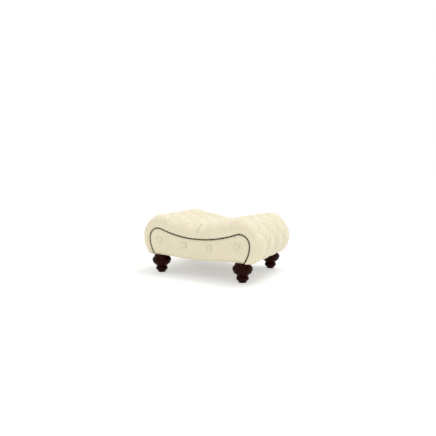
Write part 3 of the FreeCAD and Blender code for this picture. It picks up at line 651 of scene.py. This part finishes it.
def facing(name, sheet, sink, side):
    """A closed panel from its front sheet, on the front (side -1) or mirrored to the back (side 1)."""
    points = sheet * np.array([1, -side, 1])
    back = points.copy()
    back[:, :, 1] = side * (nail_plane - edge_thickness)
    rows, columns = points.shape[:2]
    count = rows * columns
    faces = grid_faces(rows, columns, flip=side < 0)
    index = np.arange(count).reshape(rows, columns)
    rim = np.concatenate([index[0], index[1:, -1], index[-1, -2::-1], index[-2:0:-1, 0]])
    following = np.roll(rim, -1)
    walls = np.stack([rim, following, following + count, rim + count], -1)
    walls = walls[:, ::-1] if side > 0 else walls
    made = add_mesh(name, np.concatenate([points.reshape(-1, 3), back.reshape(-1, 3)]),
                    np.concatenate([faces, faces[:, ::-1] + count, walls]), cream)
    # Painted shade, greyer as the dimple sinks deeper.
    tone = painted_dimple_shade * (sink / dimple_depth) ** tone_fade
    point_values(made, "painted_crease_shade", np.concatenate([tone.ravel(), np.zeros(count)]))
    shape = bmesh.new()
    shape.from_mesh(made.data)
    bmesh.ops.remove_doubles(shape, verts=shape.verts, dist=joined_within * MM)
    shape.to_mesh(made.data)
    shape.free()
    return made


panel_points, panel_sink, panel_away, panel_button = facing_sheet()
loose = panel_points[:, 1:-1]
draft = add_mesh("facing_draft", loose.reshape(-1, 3), grid_faces(*loose.shape[:2], flip=True), cream)
panel_tied = np.exp(-(panel_button / panel_button_width) ** 4)
panel_tight = np.clip(2 - (panel_away + nail_joint) / nail_band, 0, 1)
settle(draft, np.maximum(panel_tied, panel_tight)[:, 1:-1], facing_pressure, facing_swell)
swollen = np.empty(loose.size)
draft.data.vertices.foreach_get("co", swollen)
panel_points[:, 1:-1] = swollen.reshape(loose.shape) / MM
bpy.data.objects.remove(draft)
for side_name, side in (("front", -1), ("back", 1)):
    panel = facing(side_name + "_leather_facing", panel_points, panel_sink, side)
    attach(panel, "root")
    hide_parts(side_name + "_facing", side_name + "_facing_wadding")


# Dome nails
# Brass upholstery nails, driven almost edge to edge along the joint of the leathers. Their heads are
# domed and have a brown antique finish.

# Antiqued brass: nearly black brown with a dull shine on each dome, the brown rubbed lighter in patches.
brass_patch = 5 * MM
antique = plated("antique_brass", "#463829", "#18120d", 0.42, brass_patch)
dress(["front_nails", "back_nails"], antique)


# Legs
# Turned mahogany bun legs, stained dark and polished, each screwed up into its corner block by a hanger
# bolt.

# Mahogany, stained and polished: a very dark red-brown with grain just seen. The photo shows hardly any
# gloss on it, so its specular level is low.
mahogany = timber("stained_mahogany", "#2d0c08", "#1e0705", 0.28, (1.0, 1.0, 0.1))
mahogany.node_tree.nodes["Principled BSDF"].inputs["Specular IOR Level"].default_value = 0.05
dress([corner + "_leg" for corner in corners], mahogany)


# Floor, lamp and surroundings
# A white floor that keeps the stool's shadow, one wide soft lamp overhead, a little behind and to the
# right, and even light from all round.

floor_half = 40000 * MM
floor_glow, world_light = 0.51, 0.78
lamp_energy, lamp_angle, lamp_direction = 0.88, 24, (-0.22, -0.32, -1)

floor_mesh = bpy.data.meshes.new("studio_floor")
floor_mesh.from_pydata([(-floor_half, -floor_half, 0), (floor_half, -floor_half, 0),
                        (floor_half, floor_half, 0), (-floor_half, floor_half, 0)], [], [(0, 1, 2, 3)])
floor = bpy.data.objects.new("studio_floor", floor_mesh)
bpy.context.scene.collection.objects.link(floor)


def seen_directly(tree):
    """1 for camera, mirror and see-through rays, 0 for the rays that light the object."""
    path = node(tree, "ShaderNodeLightPath")
    first = node(tree, "ShaderNodeMath", {}, {0: path.outputs["Is Camera Ray"],
                                              1: path.outputs["Is Glossy Ray"]}, operation="MAXIMUM")
    both = node(tree, "ShaderNodeMath", {}, {0: first.outputs[0],
                                             1: path.outputs["Is Transmission Ray"]}, operation="MAXIMUM")
    return both.outputs[0]


# Matt white paint, with enough white of its own to the camera to be as white as the background.
floor_material = bpy.data.materials.new("white_floor")
floor_material.use_nodes = True
floor_tree = floor_material.node_tree
floor_tree.nodes.clear()
seen = seen_directly(floor_tree)
floor_colour = node(floor_tree, "ShaderNodeMix", {"A": linear("#fafafa"), "B": linear("#cacdd1")},
                    {"Factor": seen}, data_type="RGBA")
paint = node(floor_tree, "ShaderNodeBsdfDiffuse", {}, {"Color": floor_colour.outputs["Result"]})
lift = node(floor_tree, "ShaderNodeMath", {1: floor_glow}, {0: seen}, operation="MULTIPLY")
glow = node(floor_tree, "ShaderNodeEmission", {"Color": linear("#fffcf4")}, {"Strength": lift.outputs[0]})
total = node(floor_tree, "ShaderNodeAddShader", {}, {0: paint.outputs[0], 1: glow.outputs[0]})
node(floor_tree, "ShaderNodeOutputMaterial", {}, {"Surface": total.outputs[0]})
floor_mesh.materials.append(floor_material)

world = bpy.data.worlds.new("even_light")
bpy.context.scene.world = world
world.use_nodes = True
world_tree = world.node_tree
world_tree.nodes.clear()
level = node(world_tree, "ShaderNodeMapRange", {"To Min": world_light, "To Max": 1.0},
             {"Value": seen_directly(world_tree)})
sky = node(world_tree, "ShaderNodeBackground", {"Color": linear("#ffffff")},
           {"Strength": level.outputs["Result"]})
node(world_tree, "ShaderNodeOutputWorld", {}, {"Surface": sky.outputs[0]})

overhead = bpy.data.lights.new("overhead_softbox", "SUN")
overhead.energy = lamp_energy
overhead.angle = math.radians(lamp_angle)
overhead_lamp = bpy.data.objects.new("overhead_softbox", overhead)
overhead_lamp.rotation_mode = "QUATERNION"
overhead_lamp.rotation_quaternion = Vector(lamp_direction).to_track_quat("-Z", "Y")
bpy.context.scene.collection.objects.link(overhead_lamp)
bpy.context.scene.view_settings.view_transform = "Standard"
